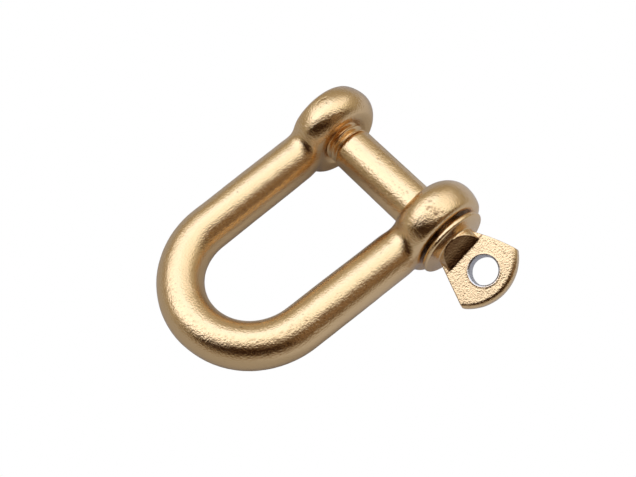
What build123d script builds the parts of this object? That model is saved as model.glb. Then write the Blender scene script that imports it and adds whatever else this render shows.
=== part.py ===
from build123d import *
import os
from math import cos, radians, sin, tan

# D shackle with a screw pin, forged in brass from 10 mm round bar.
#
# Frame: the origin is on the pin's axis, midway between the two eyes. X runs along the pin,
# whose head is at -X and whose thread is at +X. Y runs along the legs, with the crown at +Y.
# Z is square to the plane of the legs. Every size is in millimetres, every angle in degrees.

# Driving dimensions: the forged body
bar_radius = 5.0            # round bar
crown_radius = 15.4         # centre line of the half-round crown
leg_length = 35.5           # pin axis to the centre of the crown
leg_splay = 1.25            # each leg opens outwards towards its eye
eye_radius = 10.5           # each eye is a barrel, fullest midway between its flat faces
eye_inner_radius = 7.9      # its faces, before their edges are rounded: towards the jaw
eye_outer_radius = 9.3      # and away from it, where the barrel has a squarer shoulder
tapped_eye_inner = 12.05    # the tapped eye's faces, along the pin from the origin
tapped_eye_outer = 20.25
plain_eye_inner = 11.65     # the plain eye's faces, towards the head
plain_eye_outer = 20.5
eye_inner_round = 0.6
eye_outer_round = 1.5
leg_foot = 6.8              # the bar ends this far from the pin's axis, inside its eye
leg_foot_round = 2.4
leg_blend = 1.2             # hollow blend where a leg meets its eye

# Driving dimensions: the pin
shank_radius = 4.9
journal_radius = 5.06       # a little thicker where it fits the plain eye
journal_end = -11.6
shank_end = 10.0            # where the plain shank stops and the thread starts
shank_end_round = 0.85
thread_pitch = 1.5
thread_crest_radius = 4.75
thread_depth = 0.92
thread_crest_width = 0.19
thread_flank_angle = 30.0
thread_end_chamfer = 0.8
thread_end_recess = 0.2     # the thread stops this far inside the eye's outer face
ridge_sink = 0.2            # the ridge starts this far inside the core, so that they join
collar_gap = 0.6            # open gap under the collar, as the pin is stored
collar_radius = 8.0
collar_rim = 1.2            # width of the collar's rim
collar_thickness = 1.65     # the outer face slopes from the rim to the neck
collar_edge_round = 0.55
neck_radius = 4.7

# Driving dimensions: the flattened, drilled head
tab_tilt = 26.9             # how far the flat is turned about the pin from the legs' plane
tab_thickness = 3.0
runout_flat = 26.05         # distances along the pin from the origin
runout_top = 23.05          # the slope from the flat comes out of the neck here
runout_hollow = 0.2
tab_start = 23.2
tab_corner = 33.1
tab_tip = 37.1
tab_start_half_width = 4.2
tab_half_width = 7.95
tab_side_bulge = 0.35       # on the side that points away from the crown
tab_crown_side = 0.4        # the other side stands this much further out
tab_tip_round = 1.0         # the rim at the tip is rounded on both faces
hole_centre = 31.15
hole_offset = 0.3           # the hole is this much off the middle of the tab
hole_radius = 3.0
hole_chamfer = 0.2

# Driving dimensions: the holes in the eyes, and clearances
eye_bore_radius = 5.2       # the plain eye, on the head's side
tapped_clearance = 0.13     # between the pin's thread and the tapped eye, all over
tapping_drill_radius = 4.21 # hole drilled through the far eye before it is tapped
overrun = 1.0               # how far a cutting solid runs past the faces it cuts
mouth_radius = 6.1          # countersink at the tapped eye's inner face
mouth_depth = 1.3
same_size = 0.01            # edges and corners are picked by their sizes, this closely

# Worked-out sizes
eye_centre = crown_radius * cos(radians(leg_splay)) + tan(radians(leg_splay)) * (
    leg_length + crown_radius * sin(radians(leg_splay))
)
collar_inner = -(plain_eye_outer + collar_gap)
collar_outer = collar_inner - collar_thickness
thread_end = tapped_eye_outer - thread_end_recess
thread_root_radius = thread_crest_radius - thread_depth
helix_start = shank_end - thread_pitch
helix_length = tapped_eye_outer + thread_pitch - helix_start
core_start = helix_start - thread_pitch
core_end = helix_start + helix_length + thread_pitch


def thread_ridge(crest_radius, grown):
    """The helical ridge of the thread, with every flank and its crest moved out by grown."""
    foot_radius = thread_root_radius - ridge_sink
    flank = tan(radians(thread_flank_angle))
    crest_half = thread_crest_width / 2 + grown / cos(radians(thread_flank_angle)) - grown * flank
    foot_half = crest_half + (crest_radius - foot_radius) * flank
    with BuildPart() as ridge:
        with BuildLine():
            spiral = Helix(
                thread_pitch,
                helix_length,
                foot_radius,
                center=(helix_start, 0, 0),
                direction=(1, 0, 0),
            )
        outward = spiral.position_at(0) - Vector(helix_start, 0, 0)
        along = spiral.tangent_at(0)
        with BuildSketch(Plane(origin=spiral.position_at(0), x_dir=outward, z_dir=along)):
            with BuildLine():
                Polyline(
                    (0, -foot_half),
                    (crest_radius - foot_radius, -crest_half),
                    (crest_radius - foot_radius, crest_half),
                    (0, foot_half),
                    close=True,
                )
            make_face()
        sweep(path=spiral, is_frenet=True)
    return ridge.part


# Forged body: one bar bent into a D, with an eye upset and drilled at each end
foot = (-eye_centre + leg_foot * tan(radians(leg_splay)), leg_foot)
knee = (
    -crown_radius * cos(radians(leg_splay)),
    leg_length + crown_radius * sin(radians(leg_splay)),
)
tapping = thread_ridge(thread_crest_radius + tapped_clearance, tapped_clearance)
mouth_start = tapped_eye_inner - overrun
mouth_bottom = tapped_eye_inner + mouth_depth
mouth_slope = (mouth_radius - thread_root_radius) / mouth_depth

with BuildPart() as shackle_body:
    with BuildLine() as bow:
        Line(foot, knee)
        ThreePointArc(knee, (0, leg_length + crown_radius), (-knee[0], knee[1]))
        Line((-knee[0], knee[1]), (-foot[0], foot[1]))
    with BuildSketch(Plane(origin=bow.line @ 0, z_dir=bow.line % 0)):
        Circle(bar_radius)
    sweep(path=bow.line)
    foot_rims = shackle_body.faces().filter_by(GeomType.PLANE).edges()
    fillet(foot_rims, leg_foot_round)
    for inner, outer in ((tapped_eye_inner, tapped_eye_outer), (-plain_eye_inner, -plain_eye_outer)):
        fullest = ((inner + outer) / 2, eye_radius)
        with BuildSketch(Plane.XY):
            with BuildLine():
                Line((inner, 0), (inner, eye_inner_radius))
                TangentArc(fullest, (inner, eye_inner_radius), tangent=(inner - outer, 0))
                TangentArc(fullest, (outer, eye_outer_radius), tangent=(outer - inner, 0))
                Line((outer, eye_outer_radius), (outer, 0))
                Line((outer, 0), (inner, 0))
            make_face()
            fillet(vertices().sort_by(Axis.Y)[-2], eye_outer_round)
            fillet(vertices().sort_by(Axis.Y)[2], eye_inner_round)
        revolve(axis=Axis.X)
    junctions = shackle_body.edges().filter_by(
        lambda edge: edge.bounding_box().min.Y > leg_foot + same_size
        and edge.bounding_box().max.Y < eye_radius
    )
    fillet(junctions, leg_blend)
    with BuildSketch(Plane.YZ.offset(-plain_eye_outer - overrun)):
        Circle(eye_bore_radius)
    extrude(amount=plain_eye_outer - plain_eye_inner + 2 * overrun, mode=Mode.SUBTRACT)
    with BuildSketch(Plane.XY):
        with BuildLine():
            Polyline(
                (mouth_start, 0),
                (mouth_start, mouth_radius + overrun * mouth_slope),
                (mouth_bottom, thread_root_radius),
                (mouth_bottom, 0),
                close=True,
            )
        make_face()
    revolve(axis=Axis.X, mode=Mode.SUBTRACT)
    with BuildSketch(Plane.YZ.offset(tapped_eye_inner - overrun)):
        Circle(tapping_drill_radius)
    extrude(amount=tapped_eye_outer - tapped_eye_inner + 2 * overrun, mode=Mode.SUBTRACT)
    add(tapping, mode=Mode.SUBTRACT)
shackle_body.part.label = "shackle_body"

# Screw pin, plain shank
with BuildPart() as pin_shank:
    with BuildSketch(Plane.YZ.offset(collar_inner)):
        Circle(shank_radius)
    extrude(amount=shank_end - collar_inner)
    with BuildSketch(Plane.YZ.offset(collar_inner)):
        Circle(journal_radius)
    extrude(amount=journal_end - collar_inner)
    fillet(pin_shank.faces().sort_by(Axis.X)[-1].edges(), shank_end_round)
pin_shank.part.label = "pin_shank"

# Screw pin, thread: a core and a ridge longer than needed, cut back at both ends
with BuildPart() as pin_thread:
    with BuildSketch(Plane.YZ.offset(core_start)):
        Circle(thread_root_radius)
    extrude(amount=core_end - core_start)
    add(thread_ridge(thread_crest_radius, 0.0))
    with BuildSketch(Plane.YZ.offset(shank_end)):
        Circle(thread_crest_radius + overrun)
    extrude(amount=core_start - overrun - shank_end, mode=Mode.SUBTRACT)
    with BuildSketch(Plane.XY):
        with BuildLine():
            Polyline(
                (thread_end - thread_end_chamfer - overrun, thread_crest_radius + overrun),
                (thread_end, thread_crest_radius - thread_end_chamfer),
                (thread_end, 0),
                (core_end + overrun, 0),
                (core_end + overrun, thread_crest_radius + overrun),
                close=True,
            )
        make_face()
    revolve(axis=Axis.X, mode=Mode.SUBTRACT)
pin_thread.part.label = "pin_thread"

# Screw pin, head: a flat drilled tab on a round neck and collar
flat_normal = (0, sin(radians(tab_tilt)), cos(radians(tab_tilt)))
flat_across = (0, cos(radians(tab_tilt)), -sin(radians(tab_tilt)))
flat_plane = Plane(origin=(0, 0, 0), x_dir=(-1, 0, 0), z_dir=flat_normal)
side_plane = Plane(origin=(0, 0, 0), x_dir=(-1, 0, 0), z_dir=flat_across)

start_crown_side = (tab_start, -tab_start_half_width - tab_crown_side)
corner_crown_side = (tab_corner, -tab_half_width - tab_crown_side)

with BuildPart() as tab:
    with BuildSketch(flat_plane):
        with BuildLine():
            Line((tab_start, tab_start_half_width), start_crown_side)
            Line(start_crown_side, corner_crown_side)
            ThreePointArc(corner_crown_side, (tab_tip, 0), (tab_corner, tab_half_width))
            SagittaArc(
                (tab_corner, tab_half_width), (tab_start, tab_start_half_width), -tab_side_bulge
            )
        make_face()
    extrude(amount=tab_thickness / 2, both=True)
    rims = tab.faces().filter_by(Plane(origin=(0, 0, 0), z_dir=flat_normal)).edges()
    fillet(rims.group_by(Axis.X)[0], tab_tip_round)

with BuildPart() as pin_head:
    with BuildSketch(Plane.XY):
        with BuildLine():
            Polyline(
                (collar_inner, 0),
                (collar_inner, collar_radius),
                (collar_inner - collar_rim, collar_radius),
                (collar_outer, neck_radius),
                (-runout_flat, neck_radius),
                (-runout_flat, 0),
                close=True,
            )
        make_face()
        rim_corners = vertices().filter_by(lambda corner: corner.Y > collar_radius - same_size)
        fillet(rim_corners, collar_edge_round)
    revolve(axis=Axis.X)
    with BuildSketch(side_plane):
        with BuildLine():
            flat_edge = (runout_flat, tab_thickness / 2)
            slope_top = (runout_top, neck_radius)
            SagittaArc(flat_edge, slope_top, runout_hollow)
            Polyline(
                slope_top,
                (runout_top, collar_radius),
                (tab_tip, collar_radius),
                (tab_tip, tab_thickness / 2),
                flat_edge,
            )
        make_face()
        mirror(about=flat_plane)
    extrude(amount=collar_radius, both=True, mode=Mode.SUBTRACT)
    add(tab.part)
    with BuildSketch(flat_plane):
        with Locations((hole_centre, hole_offset)):
            Circle(hole_radius)
    extrude(amount=tab_thickness, both=True, mode=Mode.SUBTRACT)
    hole_rims = pin_head.edges().filter_by(GeomType.CIRCLE).filter_by(
        lambda edge: abs(edge.radius - hole_radius) < same_size
    )
    chamfer(hole_rims, hole_chamfer)
pin_head.part.label = "pin_head"

os.makedirs("parts", exist_ok=True)
export_step(shackle_body.part, "parts/shackle_body.step")
export_step(pin_shank.part, "parts/pin_shank.step")
export_step(pin_thread.part, "parts/pin_thread.step")
export_step(pin_head.part, "parts/pin_head.step")
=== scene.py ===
from math import cos, radians, sin

import bmesh
import bpy
import numpy as np
from mathutils import Matrix, Vector, noise


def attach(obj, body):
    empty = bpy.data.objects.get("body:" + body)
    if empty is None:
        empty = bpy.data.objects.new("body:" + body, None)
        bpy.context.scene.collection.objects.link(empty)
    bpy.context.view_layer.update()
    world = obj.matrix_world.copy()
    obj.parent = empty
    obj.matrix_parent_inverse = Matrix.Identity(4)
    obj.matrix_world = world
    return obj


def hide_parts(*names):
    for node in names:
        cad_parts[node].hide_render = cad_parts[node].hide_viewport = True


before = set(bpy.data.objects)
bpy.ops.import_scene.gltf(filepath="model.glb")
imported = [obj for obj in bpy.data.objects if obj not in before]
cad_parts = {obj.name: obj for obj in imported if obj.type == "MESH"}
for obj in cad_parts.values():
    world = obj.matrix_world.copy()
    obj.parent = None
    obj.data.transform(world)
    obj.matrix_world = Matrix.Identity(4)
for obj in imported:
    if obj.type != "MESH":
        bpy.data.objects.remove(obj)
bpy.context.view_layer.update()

# A brass D shackle with a screw pin, lying on its side on a white studio table.
# Metres, in the CAD frame: X along the pin, Y towards the crown, Z square to the legs.

MM = 0.001

# The table. The eyes are thicker than the bar, so the shackle lies tilted about X.
TABLE_TILT = radians(5.98)
TABLE_DROP = 10.5 * MM
TABLE_SIZE = 1.6

# The camera, by direction over the table: azimuth 0 looks along +Y.
AIM = Vector((-2.085, 19.909, -0.337)) * MM
CAMERA_AZIMUTH = radians(229.11)
CAMERA_ELEVATION = radians(58.48)
CAMERA_ROLL = radians(0.745)
CAMERA_DISTANCE = 210.08 * MM
CAMERA_LENS = 56.516
CAMERA_SENSOR = 36
CAMERA_NEAR = 0.01

TABLE_UP = Vector((0, -sin(TABLE_TILT), cos(TABLE_TILT)))
TABLE_AHEAD = Vector((0, cos(TABLE_TILT), sin(TABLE_TILT)))


def over_table(azimuth, elevation):
    """Unit vector towards an azimuth and an elevation over the table."""
    across = Vector((1, 0, 0)) * sin(azimuth) - TABLE_AHEAD * cos(azimuth)
    return across * cos(elevation) + TABLE_UP * sin(elevation)


# Mesh work. Points are arrays in millimetres.

WELD_DISTANCE = 0.002


class Surface:
    """A fine remeshed copy of a CAD node, whose points can be pushed about."""

    def __init__(self, node, voxel):
        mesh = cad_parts[node].data.copy()
        mesh.transform(Matrix.Scale(1 / MM, 4))
        welded = bmesh.new()
        welded.from_mesh(mesh)
        bmesh.ops.remove_doubles(welded, verts=welded.verts, dist=WELD_DISTANCE)
        welded.to_mesh(mesh)
        welded.free()
        shape = bpy.data.objects.new(node + "_source", mesh)
        bpy.context.scene.collection.objects.link(shape)
        remesh = shape.modifiers.new("remesh", "REMESH")
        remesh.mode = "VOXEL"
        remesh.voxel_size = voxel
        evaluated = shape.evaluated_get(bpy.context.evaluated_depsgraph_get())
        self.mesh = bpy.data.meshes.new_from_object(evaluated)
        bpy.data.objects.remove(shape)
        self.points = np.empty((len(self.mesh.vertices), 3))
        self.mesh.vertices.foreach_get("co", self.points.ravel())
        self.edges = np.empty((len(self.mesh.edges), 2), int)
        self.mesh.edges.foreach_get("vertices", self.edges.ravel())
        self.degree = np.bincount(self.edges.ravel(), minlength=len(self.points))

    def smooth(self, passes, weight=1.0):
        """Moves each point half way to its neighbours' mean, times its weight, in each pass."""
        a, b = self.edges.T
        count = len(self.points)
        move = 0.5 * np.broadcast_to(weight, count)
        for _ in range(passes):
            for axis in range(3):
                value = self.points[:, axis]
                total = np.bincount(a, value[b], count) + np.bincount(b, value[a], count)
                self.points[:, axis] += move * (total / self.degree - value)

    def normals(self):
        self.write()
        found = np.empty((len(self.points), 3))
        self.mesh.vertices.foreach_get("normal", found.ravel())
        return found

    def push(self, amount):
        """Moves each point out along its normal."""
        self.points += self.normals() * np.reshape(amount, (-1, 1))

    def dents(self, within, count, width, depth, seed):
        """Small scattered pits, centred where within is true. Each is at most depth deep, or 1.3 times that
        where they overlap. Returns how far down each point lies in them, from 0 to 1."""
        chance = np.random.default_rng(seed)
        hollow = np.zeros(len(self.points))
        for centre in self.points[chance.choice(np.flatnonzero(within), count)]:
            radius = width * chance.uniform(0.4, 1.0) / 2
            squared = ((self.points - centre) ** 2).sum(axis=1)
            hollow += chance.uniform(0.3, 1.0) * np.exp(-squared / radius ** 2)
        self.push(-depth * np.minimum(hollow, 1.3))
        return np.minimum(hollow, 1.0)

    def store(self, name, values):
        """Keeps one number per point, for the material."""
        self.mesh.attributes.new(name, "FLOAT", "POINT").data.foreach_set("value", values.astype(np.float32))

    def write(self):
        self.mesh.vertices.foreach_set("co", self.points.ravel())
        self.mesh.update()

    def piece(self, name, body, material, *nodes):
        """The finished object, riding on a body and standing for its CAD nodes."""
        self.write()
        self.mesh.transform(Matrix.Scale(MM, 4))
        self.mesh.shade_smooth()
        self.mesh.materials.clear()
        self.mesh.materials.append(material)
        obj = bpy.data.objects.new(name, self.mesh)
        bpy.context.scene.collection.objects.link(obj)
        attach(obj, body)
        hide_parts(*nodes)
        return obj


def unevenness(points, wavelength, seed):
    """Smooth noise over the points, about -1 to 1."""
    offset = Vector((seed, 2.3 * seed, -1.7 * seed))
    return np.array([noise.noise(Vector(p) / wavelength + offset) for p in points])


def fade(value, full, none):
    """1 where value is at full, 0 where it is at none, smooth between."""
    t = np.clip((value - none) / (full - none), 0, 1)
    return t * t * (3 - 2 * t)


# Nodes

class Nodes:
    """Short names for making and joining shader nodes."""

    def __init__(self, tree):
        self.tree = tree
        tree.nodes.clear()

    def add(self, kind, settings=(), **inputs):
        """A new node. An input goes by its name, with _ for a space, or by its place, as _0 or _1."""
        node = self.tree.nodes.new(kind)
        for name, value in dict(settings).items():
            setattr(node, name, value)
        for name, value in inputs.items():
            socket = node.inputs[int(name[1:])] if name[0] == "_" else node.inputs[name.replace("_", " ")]
            if isinstance(value, bpy.types.NodeSocket):
                self.tree.links.new(value, socket)
            else:
                socket.default_value = value
        return node

    def math(self, operation, a, b):
        return self.add("ShaderNodeMath", {"operation": operation}, _0=a, _1=b).outputs[0]

    def dot(self, a, b):
        return self.add("ShaderNodeVectorMath", {"operation": "DOT_PRODUCT"}, _0=a, _1=b).outputs["Value"]

    def smooth_step(self, value, start, end):
        """0 where value is at start, 1 where it is at end, smooth between."""
        return self.add("ShaderNodeMapRange", {"interpolation_type": "SMOOTHSTEP"},
                        _0=value, _1=start, _2=end).outputs[0]

    def ramp(self, factor, stops):
        """A colour by factor, straight between stops of a place and a colour or a grey."""
        node = self.add("ShaderNodeValToRGB", Fac=factor)
        node.color_ramp.interpolation = "LINEAR"
        elements = node.color_ramp.elements
        while len(elements) < len(stops):
            elements.new(0.5)
        for element, (place, colour) in zip(elements, stops):
            element.position = place
            element.color = (*colour, 1) if hasattr(colour, "__len__") else (colour, colour, colour, 1)
        return node.outputs["Color"]

    def mix(self, factor, a, b):
        """Colour a where factor is 0, and colour b where it is 1."""
        node = self.add("ShaderNodeMix", {"data_type": "RGBA"})
        for name, value in (("Factor_Float", factor), ("A_Color", a), ("B_Color", b)):
            socket = next(s for s in node.inputs if s.identifier == name)
            if isinstance(value, bpy.types.NodeSocket):
                self.tree.links.new(value, socket)
            else:
                socket.default_value = value if name == "Factor_Float" else (*value, 1)
        return next(s for s in node.outputs if s.identifier == "Result_Color")

    def mix_shader(self, factor, a, b):
        return self.add("ShaderNodeMixShader", _0=factor, _1=a, _2=b).outputs[0]


# World

# The sky's colour by degrees over the table.
LIT_SKY = (
    (0, (0.37, 0.345, 0.30)), (15, (0.37, 0.34, 0.28)), (25, (0.41, 0.37, 0.30)), (35, (0.56, 0.53, 0.46)),
    (45, (0.88, 0.89, 0.87)), (55, (1.15, 1.21, 1.30)), (68, (1.30, 1.40, 1.60)), (80, (1.32, 1.42, 1.62)),
)
DIM_SKY = (
    (0, (0.40, 0.38, 0.34)), (12, (0.20, 0.15, 0.11)), (20, (0.035, 0.015, 0.007)),
    (40, (0.02, 0.01, 0.005)), (48, (0.05, 0.027, 0.015)), (57, (0.13, 0.085, 0.055)),
    (66, (0.25, 0.21, 0.17)), (76, (0.48, 0.48, 0.46)), (86, (0.85, 0.90, 0.98)),
)

# The lit half of the sky, by how far a direction points towards its azimuth.
LIT_AZIMUTH = 56
ALL_DIM = -0.29
ALL_LIT = -0.17

# Soft round cards in the sky. Each has an azimuth and an elevation, is solid to one angle from its middle
# and gone at the next, all in degrees, and has a colour.
CARDS = (
    (135, 50, 11, 25, (1.6, 1.75, 2.2)),
    (73, 60, 9, 19, (1.40, 1.60, 2.1)),
    (106, 42, 5, 18, (1.35, 1.45, 1.75)),
    (8, 46, 5, 18, (1.1, 1.15, 1.3)),
    (50, 37, 5, 17, (0.44, 0.41, 0.35)),
    (-79, 36, 8, 19, (0.30, 0.21, 0.14)),
)


def studio_dome():
    """A big soft light overhead, open towards the lit side and shut off behind the camera."""
    world = bpy.data.worlds.new("studio_dome")
    bpy.context.scene.world = world
    world.use_nodes = True
    n = Nodes(world.node_tree)
    direction = n.add("ShaderNodeTexCoord").outputs["Generated"]
    height = n.dot(direction, TABLE_UP)

    def sky(stops):
        return n.ramp(height, [(sin(radians(elevation)), colour) for elevation, colour in stops])

    lit = sky(LIT_SKY)
    dim = sky(DIM_SKY)
    open_side = n.dot(direction, over_table(radians(LIT_AZIMUTH), 0))
    colour = n.mix(n.smooth_step(open_side, ALL_DIM, ALL_LIT), dim, lit)
    for azimuth, elevation, core, edge, card in CARDS:
        towards = n.dot(direction, over_table(radians(azimuth), radians(elevation)))
        share = n.smooth_step(towards, cos(radians(edge)), cos(radians(core)))
        colour = n.mix(share, colour, card)
    camera_ray = n.add("ShaderNodeLightPath").outputs["Is Camera Ray"]
    colour = n.mix(camera_ray, colour, (1, 1, 1))
    background = n.add("ShaderNodeBackground", Color=colour, Strength=1.0)
    n.add("ShaderNodeOutputWorld", Surface=background.outputs[0])


# The table as reflections see it: diffuse paper with painted light, lighter towards one side, and a faint
# painted glow. Each goes from one colour to the other along an azimuth, between two distances from the origin
# in metres.
PAPER_COLOURS_WITH_PAINTED_LIGHT = ((0.44, 0.42, 0.38), (0.50, 0.50, 0.53))
PAPER_AZIMUTH = 60
PAPER_EDGES = (0.01, 0.08)
GLOW_COLOURS = ((0.07, 0.07, 0.08), (0.18, 0.195, 0.25))
GLOW_AZIMUTH = -60
GLOW_EDGES = (0.004, 0.016)


def table():
    """A flat white table, which the camera sees as pure white."""
    mesh = bpy.data.meshes.new("table")
    half = TABLE_SIZE / 2
    corners = [Vector((x, 0, 0)) + TABLE_AHEAD * y - TABLE_UP * TABLE_DROP for x, y in
               ((-half, -half), (half, -half), (half, half), (-half, half))]
    mesh.from_pydata(corners, [], [(0, 1, 2, 3)])
    obj = bpy.data.objects.new("table", mesh)
    bpy.context.scene.collection.objects.link(obj)
    material = bpy.data.materials.new("table_white")
    material.use_nodes = True
    n = Nodes(material.node_tree)
    place = n.add("ShaderNodeTexCoord").outputs["Object"]

    def across(azimuth, edges, colours):
        return n.mix(n.smooth_step(n.dot(place, over_table(radians(azimuth), 0)), *edges), *colours)

    # Painted light: the paper grows lighter towards one side, and a faint painted glow is added to it.
    paper_with_painted_light = across(PAPER_AZIMUTH, PAPER_EDGES, PAPER_COLOURS_WITH_PAINTED_LIGHT)
    paper = n.add("ShaderNodeBsdfDiffuse", Color=paper_with_painted_light).outputs[0]
    glow_colour = across(GLOW_AZIMUTH, GLOW_EDGES, GLOW_COLOURS)
    glow = n.add("ShaderNodeEmission", Color=glow_colour, Strength=1.0).outputs[0]
    paper = n.add("ShaderNodeAddShader", _0=paper, _1=glow).outputs[0]
    seen = n.add("ShaderNodeEmission", Color=(1, 1, 1, 1), Strength=1.0).outputs[0]
    camera_ray = n.add("ShaderNodeLightPath").outputs["Is Camera Ray"]
    n.add("ShaderNodeOutputMaterial", Surface=n.mix_shader(camera_ray, paper, seen))
    mesh.materials.append(material)


def camera():
    data = bpy.data.cameras.new("camera")
    data.lens = CAMERA_LENS
    data.sensor_width = CAMERA_SENSOR
    data.clip_start = CAMERA_NEAR
    obj = bpy.data.objects.new("camera", data)
    back = over_table(CAMERA_AZIMUTH, CAMERA_ELEVATION)
    right = TABLE_UP.cross(back).normalized()
    level = Matrix((right, back.cross(right), back)).transposed().to_4x4()
    obj.matrix_world = (Matrix.Translation(AIM + back * CAMERA_DISTANCE) @ level
                        @ Matrix.Rotation(CAMERA_ROLL, 4, "Z"))
    bpy.context.scene.collection.objects.link(obj)
    bpy.context.scene.camera = obj


# Materials

BRASS_COLOUR = (0.88, 0.62, 0.33)
BARE_COLOUR = (0.62, 0.62, 0.62)
# Dark brown, for the pits and for painted shade under the pin's collar and on its head's run-out.
PITS_AND_PAINTED_SHADE_COLOUR = (0.26, 0.14, 0.06)


def brass():
    """Satin brass with a fine grain. A mesh can carry: along, in mm along its bar, for the drawing lines;
    bare, for metal rubbed grey; and a share of dark brown, in the pits and as painted shade under the pin's
    collar and on its head's run-out."""
    material = bpy.data.materials.new("brass")
    material.use_nodes = True
    n = Nodes(material.node_tree)
    place = n.add("ShaderNodeTexCoord").outputs["Object"]
    along = n.add("ShaderNodeAttribute", {"attribute_name": "along"}).outputs["Fac"]
    bare = n.add("ShaderNodeAttribute", {"attribute_name": "bare"}).outputs["Fac"]
    pits_and_painted_shade = n.add("ShaderNodeAttribute", {"attribute_name": "pits_and_painted_shade"}).outputs["Fac"]
    patches = n.add("ShaderNodeTexNoise", Vector=place, Scale=220.0, Detail=4.0, Roughness=0.6).outputs[0]
    coarse = n.add("ShaderNodeTexNoise", Vector=place, Scale=2700.0, Detail=2.0, Roughness=0.6).outputs[0]
    fine = n.add("ShaderNodeTexNoise", Vector=place, Scale=4200.0, Detail=2.0, Roughness=0.6).outputs[0]
    lines = n.add("ShaderNodeTexNoise", {"noise_dimensions": "1D"}, W=along, Scale=2.2, Detail=1.0).outputs[0]
    lines_here = n.math("MULTIPLY", lines, n.ramp(patches, [(0.38, 0.0), (0.6, 1.0)]))
    bump = n.add("ShaderNodeBump", Strength=0.22, Distance=0.0001, Height=lines_here).outputs[0]
    bump = n.add("ShaderNodeBump", Strength=0.42, Distance=0.0002, Height=coarse, Normal=bump).outputs[0]
    bump = n.add("ShaderNodeBump", Strength=0.12, Distance=0.0001, Height=fine, Normal=bump).outputs[0]
    roughness = n.ramp(patches, [(0.3, 0.11), (0.7, 0.19)])
    colour = n.mix(bare, BRASS_COLOUR, BARE_COLOUR)
    # Dark brown in the pits, and painted shade where a mesh marks it.
    colour = n.mix(pits_and_painted_shade, colour, PITS_AND_PAINTED_SHADE_COLOUR)
    surface = n.add("ShaderNodeBsdfPrincipled",
                    Base_Color=colour, Metallic=1.0, Roughness=roughness, Normal=bump)
    n.add("ShaderNodeOutputMaterial", Surface=surface.outputs[0])
    return material


# Pieces, in millimetres

BAR_RADIUS = 5.0
CROWN_RADIUS = 15.4
CROWN_CENTRE = 35.5
EYE_RADIUS = 10.5
EYE_HALF_WIDTH = 4.2
EYE_CENTRE = 16.15
EYE_SHOULDER = 1.8           # an eye's radius is this much less at its two faces
LEG_SPLAY = radians(1.25)
BORE_REACH = 6.6             # bores and the mouth lie nearer to the pin's axis than this
FAR_BORE_EASE = 0.1          # opens the far eye's bore, and the pin's thread still cuts into its wall
BLEND_SPREAD = 2.4           # mm2, how widely the line where a leg enters its eye is smoothed
MARKS_RADIUS = 16.6          # middle of the band of pits, from the crown's centre
MARKS_HALF_WIDTH = 1.0
TAB_TILT = radians(26.9)
TAB_HALF_THICKNESS = 1.5
SLOPE_FLAT = 26.05
SLOPE_MIDDLE = 24.55
SLOPE_RISE = 3.2 / 3.0
COLLAR_FACE_X = -21.1
HOLE_X = -31.15
HOLE_OFFSET = 0.3
HOLE_RADIUS = 3.0
BURR_OFFSET = 0.42           # the burr's crest, outside the hole's edge
BURR_WIDTH = 0.16


def forged_body(material):
    body = Surface("shackle_body", voxel=0.275)
    x, y, z = body.points.T.copy()
    from_axis = np.hypot(y, z)
    leg_side = EYE_CENTRE - y * np.tan(LEG_SPLAY)
    from_leg = np.abs(np.hypot(np.abs(x) - leg_side, z) - BAR_RADIUS)
    beside = np.clip(np.abs(np.abs(x) - EYE_CENTRE) / EYE_HALF_WIDTH, 0, 1)
    eye_edge = EYE_RADIUS - EYE_SHOULDER * beside ** 2
    from_eye = np.abs(from_axis - eye_edge)
    junction = np.exp(-(from_leg ** 2 + from_eye ** 2) / BLEND_SPREAD) * fade(y, full=5.0, none=3.0)
    outside = fade(from_axis, full=BORE_REACH + 0.6, none=BORE_REACH)
    in_far_bore = (x > EYE_CENTRE - EYE_HALF_WIDTH) & (from_axis < BORE_REACH)
    body.push(-FAR_BORE_EASE * in_far_bore)
    body.smooth(4, outside)
    body.smooth(120, junction)
    body.push(outside * 0.05 * unevenness(body.points, wavelength=7.0, seed=3.1))
    body.push(outside * 0.02 * unevenness(body.points, wavelength=2.2, seed=8.4))

    # Pits in the forging's skin: where a foundry's marks would be, and thinly all over.
    on_crown = y > CROWN_CENTRE - 2
    from_marks = abs(np.hypot(x, y - CROWN_CENTRE) - MARKS_RADIUS)
    crown_marks = on_crown & (from_marks < MARKS_HALF_WIDTH) & (z > 3.5) & (x < 9)
    on_band = body.dents(crown_marks, count=150, width=0.5, depth=0.04, seed=11)
    near_marks = (abs(x + 17.3) < 1.9) & (abs(y - 1.5) < 1.0) & (z > 8)
    on_near_eye = body.dents(near_marks, count=30, width=0.5, depth=0.08, seed=12)
    far_marks = (abs(x - 17.6) < 0.9) & (abs(y - 1.0) < 1.2) & (z > 8)
    on_far_eye = body.dents(far_marks, count=12, width=0.5, depth=0.06, seed=13)
    elsewhere = body.dents(outside > 0.9, count=200, width=0.6, depth=0.03, seed=14)

    pits = [0.4 * on_band, 0.8 * on_near_eye, 0.6 * on_far_eye, 0.5 * elsewhere ** 2]
    body.store("pits_and_painted_shade", np.maximum.reduce(pits))
    round_crown = CROWN_CENTRE + CROWN_RADIUS * np.arctan2(y - CROWN_CENTRE, np.abs(x))
    body.store("along", np.where(on_crown, round_crown, y))
    return body.piece("forged_body", "shackle", material, "shackle_body")


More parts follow.
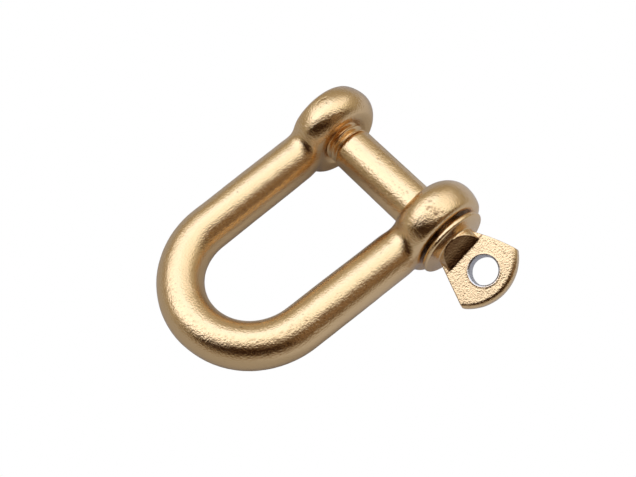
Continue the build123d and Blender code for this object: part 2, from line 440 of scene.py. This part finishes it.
def shank(material):
    plain = Surface("pin_shank", voxel=0.22)
    x, y, z = plain.points.T.copy()
    plain.smooth(3)
    plain.push(0.02 * unevenness(plain.points, wavelength=3.0, seed=5.5))
    pits = plain.dents((x > -11) & (x < 8.5) & (z > 0), count=150, width=0.6, depth=0.05, seed=21)
    plain.store("pits_and_painted_shade", 0.5 * pits ** 2)
    plain.store("along", x)
    return plain.piece("shank", "pin_carriage", material, "pin_shank")


def thread(material):
    ridge = Surface("pin_thread", voxel=0.1)
    ridge.smooth(1)
    return ridge.piece("thread", "screw", material, "pin_thread")


def head(material):
    tab = Surface("pin_head", voxel=0.13)
    x, y, z = tab.points.T.copy()
    height = y * np.sin(TAB_TILT) + z * np.cos(TAB_TILT)
    across = z * np.sin(TAB_TILT) - y * np.cos(TAB_TILT)
    from_hole = np.hypot(x - HOLE_X, across - HOLE_OFFSET)
    on_face = (np.abs(height) > TAB_HALF_THICKNESS - 0.1) & (x < -26)
    tab.smooth(3)
    tab.push(0.015 * unevenness(tab.points, wavelength=2.5, seed=1.9))
    burr = np.exp(-((from_hole - HOLE_RADIUS - BURR_OFFSET) / BURR_WIDTH) ** 2) * on_face
    tab.push(0.09 * burr * (0.8 + 0.4 * unevenness(tab.points, wavelength=1.3, seed=6.2)))
    pits = tab.dents(on_face & (from_hole > 4), count=150, width=0.4, depth=0.03, seed=31)
    # Painted shade: the ramped run-out between the tab and the neck is painted dark brown.
    from_slope = np.abs(np.abs(height) - TAB_HALF_THICKNESS - (x + SLOPE_FLAT) * SLOPE_RISE)
    run_out_painted_shade = fade(from_slope, 0.2, 0.5) * fade(np.abs(x + SLOPE_MIDDLE), 1.4, 1.55)
    # Painted shade: the head is painted dark brown in the gap under its collar, next to the eye.
    painted_shade_under_collar = fade(x, COLLAR_FACE_X - 0.05, COLLAR_FACE_X - 0.25) * fade(np.hypot(y, z), 7.3, 7.8)
    tab.store("pits_and_painted_shade", np.maximum.reduce([run_out_painted_shade, painted_shade_under_collar, 0.6 * pits ** 2]))
    tab.store("bare", fade(from_hole, HOLE_RADIUS + 0.25, HOLE_RADIUS + 0.5))
    return tab.piece("head", "screw", material, "pin_head")


camera()
studio_dome()
table()
metal = brass()
forged_body(metal)
shank(metal)
thread(metal)
head(metal)

bpy.context.scene.view_settings.view_transform = "Standard"
